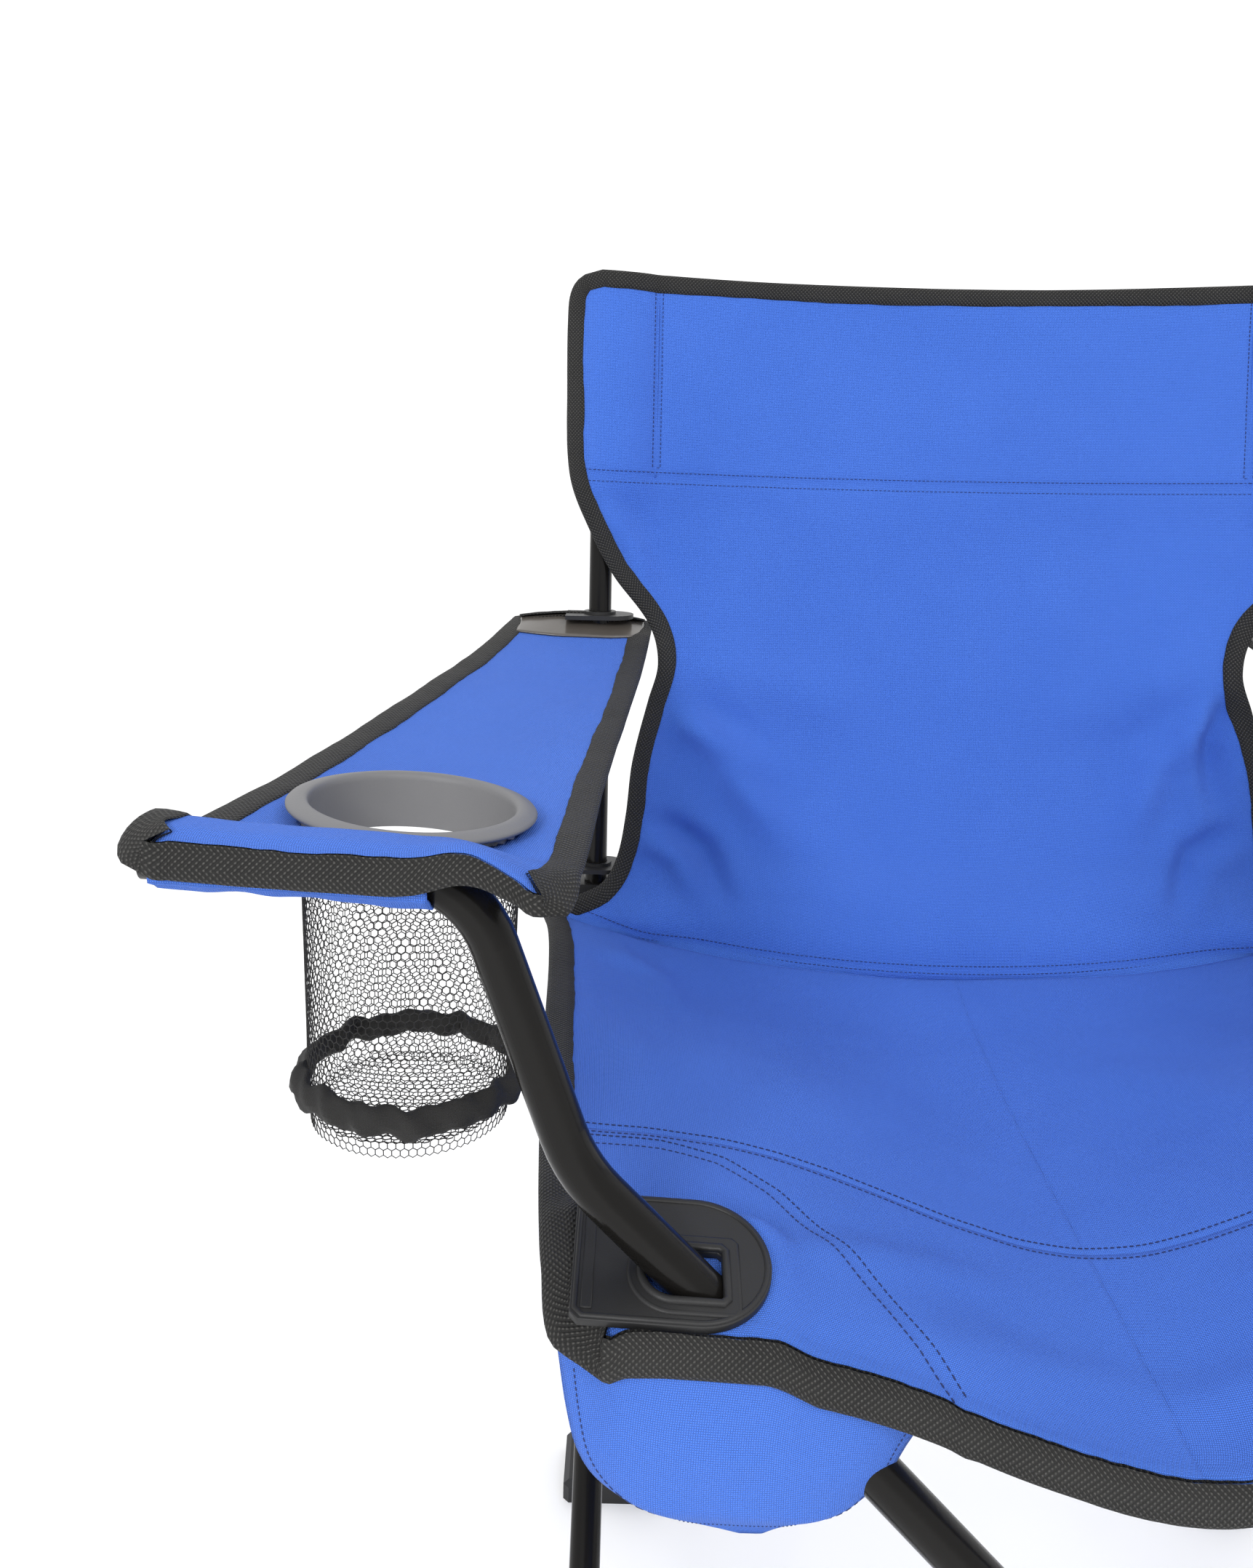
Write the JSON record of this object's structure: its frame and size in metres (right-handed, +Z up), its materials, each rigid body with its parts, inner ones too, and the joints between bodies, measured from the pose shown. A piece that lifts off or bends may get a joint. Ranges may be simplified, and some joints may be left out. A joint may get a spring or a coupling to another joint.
{
  "type": "folding camp chair",
  "caption": "Folding camp chair with crossed steel tubes, blue sling seat and back, cloth armrests and a net cup holder in one arm.",
  "frame": {"origin": "centre of the chair's footprint box, on the floor", "axes": "+X to the right seen from the front, +Y to the back, +Z up; the chair faces -Y"},
  "size_m": [0.824, 0.4933, 0.887],
  "materials": {
    "tube_black": "gloss powder coat",
    "rivet_steel": "blackened",
    "black_plastic": "satin",
    "cup_plastic": "matte",
    "blue_fabric": "woven",
    "black_tape": "twill tape",
    "black_net": "open net"
  },
  "bodies": {
    "foot_rear_left_body": {"foot_rear_left": "black_plastic", "foot_rear_left_rivets": "rivet_steel"},
    "back_left_tube": {"back_tube_from_left": "tube_black", "back_cross_rivet": "rivet_steel", "back_spacer": "rivet_steel"},
    "back_right_tube": {"back_tube_from_right": "tube_black"},
    "foot_rear_right_body": {"foot_rear_right": "black_plastic", "foot_rear_right_rivets": "rivet_steel"},
    "side_inner_left": {"side_tube_inner_left": "tube_black", "side_cross_rivet_left": "rivet_steel"},
    "side_outer_left": {"side_tube_outer_left": "tube_black"},
    "side_inner_right": {"side_tube_inner_right": "tube_black", "side_cross_rivet_right": "rivet_steel"},
    "side_outer_right": {"side_tube_outer_right": "tube_black"},
    "side_washer_left": {"side_spacer_left": "rivet_steel"},
    "side_washer_right": {"side_spacer_right": "rivet_steel"},
    "upright_left_body": {"upright_left": "tube_black", "upright_cap_left": "black_plastic", "rear_bracket_left": "black_plastic", "rear_bracket_rivet_left": "rivet_steel", "arm_plate_left": "black_plastic", "seat_rear_plate_left": "black_plastic", "back_sleeve_left": "blue_fabric", "seat_panel": "blue_fabric", "back_panel": "blue_fabric"},
    "upright_right_body": {"upright_right": "tube_black", "upright_cap_right": "black_plastic", "rear_bracket_right": "black_plastic", "rear_bracket_rivet_right": "rivet_steel", "arm_plate_right": "black_plastic", "seat_rear_plate_right": "black_plastic", "back_sleeve_right": "blue_fabric"},
    "corner_left": {"corner_bracket_left": "tube_black", "corner_rivet_left": "rivet_steel"},
    "corner_right": {"corner_bracket_right": "tube_black", "corner_rivet_right": "rivet_steel"},
    "foot_front_left_body": {"foot_front_left": "black_plastic", "foot_front_left_rivets": "rivet_steel"},
    "foot_front_right_body": {"foot_front_right": "black_plastic", "foot_front_right_rivets": "rivet_steel"},
    "arm_right_tube": {"front_tube_from_left": "tube_black", "front_cross_rivet": "rivet_steel", "front_spacer": "rivet_steel", "arm_tube_cap_right": "black_plastic", "seat_front_plate_right": "black_plastic", "corner_pocket_right": "blue_fabric", "armrest_right": "blue_fabric"},
    "arm_left_tube": {"front_tube_from_right": "tube_black", "arm_tube_cap_left": "black_plastic", "seat_front_plate_left": "black_plastic", "corner_pocket_left": "blue_fabric", "armrest_left": "blue_fabric", "cup_rim": "cup_plastic", "cup_net": "black_net", "cup_hem": "black_net"}
  },
  "joints": [
    {"name": "fold", "type": "hinge", "parent": "foot_rear_left_body", "child": "side_inner_left", "pos_m": [-0.215, 0.189, 0.05], "axis": [-1, 0, 0], "range_deg": [0, 33], "deforming": ["seat_panel", "back_panel", "armrest_left", "armrest_right"]},
    {"name": "side_cross_left", "type": "hinge", "parent": "side_inner_left", "child": "side_outer_left", "pos_m": [-0.239, -0.015, 0.225], "axis": [1, 0, 0], "range_deg": [0, 66]},
    {"name": "side_washer_left_turn", "type": "hinge", "parent": "side_inner_left", "child": "side_washer_left", "pos_m": [-0.227, -0.015, 0.225], "axis": [1, 0, 0], "range_deg": [0, 33]},
    {"name": "bracket_left", "type": "hinge", "parent": "side_outer_left", "child": "upright_left_body", "pos_m": [-0.239, 0.189, 0.4], "axis": [-1, 0, 0], "range_deg": [0, 33]},
    {"name": "corner_left_pivot", "type": "hinge", "parent": "side_inner_left", "child": "corner_left", "pos_m": [-0.215, -0.219, 0.4], "axis": [1, 0, 0], "range_deg": [0, 33]},
    {"name": "foot_front_left_pivot", "type": "hinge", "parent": "side_outer_left", "child": "foot_front_left_body", "pos_m": [-0.239, -0.219, 0.05], "axis": [-1, 0, 0], "range_deg": [0, 33]},
    {"name": "front_tube_left_foot", "type": "hinge", "parent": "foot_front_left_body", "child": "arm_right_tube", "pos_m": [-0.1965, -0.206, 0.05], "axis": [0, -1, 0], "range_deg": [0, 33]},
    {"name": "front_cross", "type": "hinge", "parent": "arm_right_tube", "child": "arm_left_tube", "pos_m": [0, -0.219, 0.24136], "axis": [0, 1, 0], "range_deg": [0, 66]},
    {"name": "back_tube_left_foot", "type": "hinge", "parent": "foot_rear_left_body", "child": "back_left_tube", "pos_m": [-0.1965, 0.215, 0.05], "axis": [0, -1, 0], "range_deg": [0, 33]},
    {"name": "back_cross", "type": "hinge", "parent": "back_left_tube", "child": "back_right_tube", "pos_m": [0, 0.226, 0.24136], "axis": [0, 1, 0], "range_deg": [0, 66]},
    {"name": "foot_rear_right_pivot", "type": "hinge", "parent": "back_right_tube", "child": "foot_rear_right_body", "pos_m": [0.1965, 0.237, 0.05], "axis": [0, -1, 0], "range_deg": [0, 33]},
    {"name": "side_inner_right_foot", "type": "hinge", "parent": "foot_rear_right_body", "child": "side_inner_right", "pos_m": [0.215, 0.189, 0.05], "axis": [-1, 0, 0], "range_deg": [0, 33]},
    {"name": "side_cross_right", "type": "hinge", "parent": "side_inner_right", "child": "side_outer_right", "pos_m": [0.239, -0.015, 0.225], "axis": [1, 0, 0], "range_deg": [0, 66]},
    {"name": "side_washer_right_turn", "type": "hinge", "parent": "side_inner_right", "child": "side_washer_right", "pos_m": [0.227, -0.015, 0.225], "axis": [1, 0, 0], "range_deg": [0, 33]},
    {"name": "bracket_right", "type": "hinge", "parent": "side_outer_right", "child": "upright_right_body", "pos_m": [0.239, 0.189, 0.4], "axis": [-1, 0, 0], "range_deg": [0, 33]},
    {"name": "corner_right_pivot", "type": "hinge", "parent": "side_inner_right", "child": "corner_right", "pos_m": [0.215, -0.219, 0.4], "axis": [1, 0, 0], "range_deg": [0, 33]},
    {"name": "foot_front_right_pivot", "type": "hinge", "parent": "side_outer_right", "child": "foot_front_right_body", "pos_m": [0.239, -0.219, 0.05], "axis": [-1, 0, 0], "range_deg": [0, 33]}
  ],
  "couplings": [
    {"joint": "side_cross_left", "follows": "fold", "ratio": 2},
    {"joint": "side_washer_left_turn", "follows": "fold", "ratio": 1},
    {"joint": "bracket_left", "follows": "fold", "ratio": 1},
    {"joint": "corner_left_pivot", "follows": "fold", "ratio": 1},
    {"joint": "foot_front_left_pivot", "follows": "fold", "ratio": 1},
    {"joint": "front_tube_left_foot", "follows": "fold", "ratio": 1},
    {"joint": "front_cross", "follows": "fold", "ratio": 2},
    {"joint": "back_tube_left_foot", "follows": "fold", "ratio": 1},
    {"joint": "back_cross", "follows": "fold", "ratio": 2},
    {"joint": "foot_rear_right_pivot", "follows": "fold", "ratio": 1},
    {"joint": "side_inner_right_foot", "follows": "fold", "ratio": 1},
    {"joint": "side_cross_right", "follows": "fold", "ratio": 2},
    {"joint": "side_washer_right_turn", "follows": "fold", "ratio": 1},
    {"joint": "bracket_right", "follows": "fold", "ratio": 1},
    {"joint": "corner_right_pivot", "follows": "fold", "ratio": 1},
    {"joint": "foot_front_right_pivot", "follows": "fold", "ratio": 1}
  ]
}
